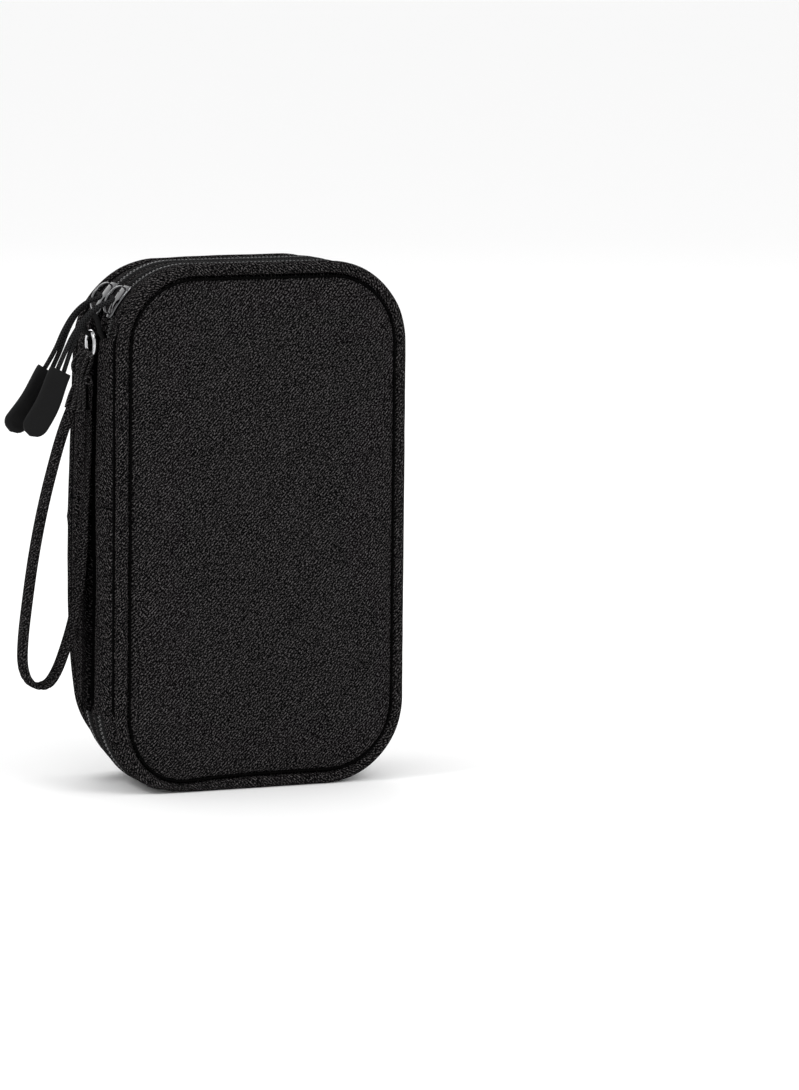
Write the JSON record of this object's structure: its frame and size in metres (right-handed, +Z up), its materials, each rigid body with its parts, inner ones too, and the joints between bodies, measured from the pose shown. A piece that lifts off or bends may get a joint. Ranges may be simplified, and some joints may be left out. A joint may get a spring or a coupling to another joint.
{
  "type": "cable organizer pouch",
  "caption": "Rounded upright fabric pouch with padded faces, zippers round its edge, hinged leaves with mesh pockets inside, cord zipper pulls and a hanging wrist strap",
  "frame": {"origin": "middle of the closed pouch's footprint, on the surface that it stands on", "axes": "+Z up, the front face looks along -Y, the spine and the strap are at -X"},
  "size_m": [0.1426, 0.055, 0.187],
  "materials": {
    "outer_fabric": "heathered woven twill, matt, with fine light flecks",
    "piping_fabric": "the same twill wrapped round a cord",
    "foam": "closed-cell foam board",
    "lining": "grey-blue satin with a soft sheen",
    "binding": "light grey ribbed binding tape with stitching",
    "mesh": "light grey open mesh",
    "zip_tape": "woven zipper tape, matt black",
    "zip_teeth": "moulded coil teeth, slightly glossy",
    "slider_metal": "nickel plated, polished",
    "pull_rubber": "soft moulded rubber, matt",
    "cord": "braided polyester cord",
    "strap": "folded twill band with edge stitching"
  },
  "bodies": {
    "pouch_middle": {"middle_foam_board": "foam", "middle_front_lining": "lining", "middle_back_lining": "lining", "middle_frame": "outer_fabric", "middle_front_zip_tape": "zip_tape", "middle_back_zip_tape": "zip_tape", "middle_front_zip_teeth": "zip_teeth", "middle_back_zip_teeth": "zip_teeth", "middle_front_border": "outer_fabric", "middle_back_border": "outer_fabric", "middle_pocket_low": "mesh", "middle_pocket_centre": "mesh", "middle_pocket_high": "mesh", "middle_pocket_hems": "binding", "middle_pocket_dividers": "binding", "spine_ridge": "outer_fabric", "front_gusset": "lining", "back_gusset": "lining", "strap_anchor": "cord"},
    "front_leaf": {"front_panel": "outer_fabric", "front_piping": "piping_fabric", "front_foam_board": "foam", "front_side_wall": "outer_fabric", "front_lining": "lining", "front_zip_tape": "zip_tape", "front_zip_teeth": "zip_teeth", "front_rim_binding": "binding", "front_pocket_mesh": "mesh", "front_pocket_top_hem": "binding", "front_pocket_side_hem": "binding", "front_pocket_cross_strip": "binding"},
    "back_leaf": {"back_panel": "outer_fabric", "back_piping": "piping_fabric", "back_foam_board": "foam", "back_side_wall": "outer_fabric", "back_lining": "lining", "back_zip_tape": "zip_tape", "back_zip_teeth": "zip_teeth", "back_rim_binding": "binding", "back_pocket_mesh": "mesh", "back_pocket_hem": "binding"},
    "front_slider": {"front_slider": "slider_metal"},
    "back_slider": {"back_slider": "slider_metal"},
    "front_pull": {"front_pull_cord": "cord", "front_pull_tab": "pull_rubber"},
    "back_pull": {"back_pull_cord": "cord", "back_pull_tab": "pull_rubber"},
    "strap_ring": {"strap_ring": "slider_metal"},
    "wrist_strap": {"strap_neck": "strap", "wrist_strap": "strap"}
  },
  "joints": [
    {"name": "front_leaf_opens", "type": "hinge", "parent": "pouch_middle", "child": "front_leaf", "pos_m": [-0.0545, -0.0065, 0.0935], "axis": [0, 0, -1], "range_deg": [0, 105], "deforming": ["front_pull_cord", "front_pull_tab", "back_pull_cord", "back_pull_tab"]},
    {"name": "back_leaf_opens", "type": "hinge", "parent": "pouch_middle", "child": "back_leaf", "pos_m": [-0.0545, 0.0085, 0.0935], "axis": [0, 0, 1], "range_deg": [0, 90]},
    {"name": "front_slider_runs", "type": "hinge", "parent": "front_leaf", "child": "front_slider", "pos_m": [-0.0256, -0.0095, 0.1576], "axis": [0, 1, 0], "range_deg": [0, 50]},
    {"name": "back_slider_runs", "type": "hinge", "parent": "pouch_middle", "child": "back_slider", "pos_m": [-0.0256, 0.0035, 0.1576], "axis": [0, 1, 0], "range_deg": [0, 50]},
    {"name": "front_pull_lifts", "type": "hinge", "parent": "front_slider", "child": "front_pull", "pos_m": [-0.05248, -0.0095, 0.17506], "axis": [0, 1, 0], "range_deg": [-3, 60]},
    {"name": "back_pull_lifts", "type": "hinge", "parent": "back_slider", "child": "back_pull", "pos_m": [-0.05248, 0.0035, 0.17506], "axis": [0, 1, 0], "range_deg": [-3, 60]},
    {"name": "ring_swings", "type": "hinge", "parent": "pouch_middle", "child": "strap_ring", "pos_m": [-0.0574, 0.0033, 0.1633], "axis": [0, 1, 0], "range_deg": [0, 30]},
    {"name": "strap_swings", "type": "hinge", "parent": "strap_ring", "child": "wrist_strap", "pos_m": [-0.0574, 0.0033, 0.1553], "axis": [0, 1, 0], "range_deg": [0, 60]}
  ]
}
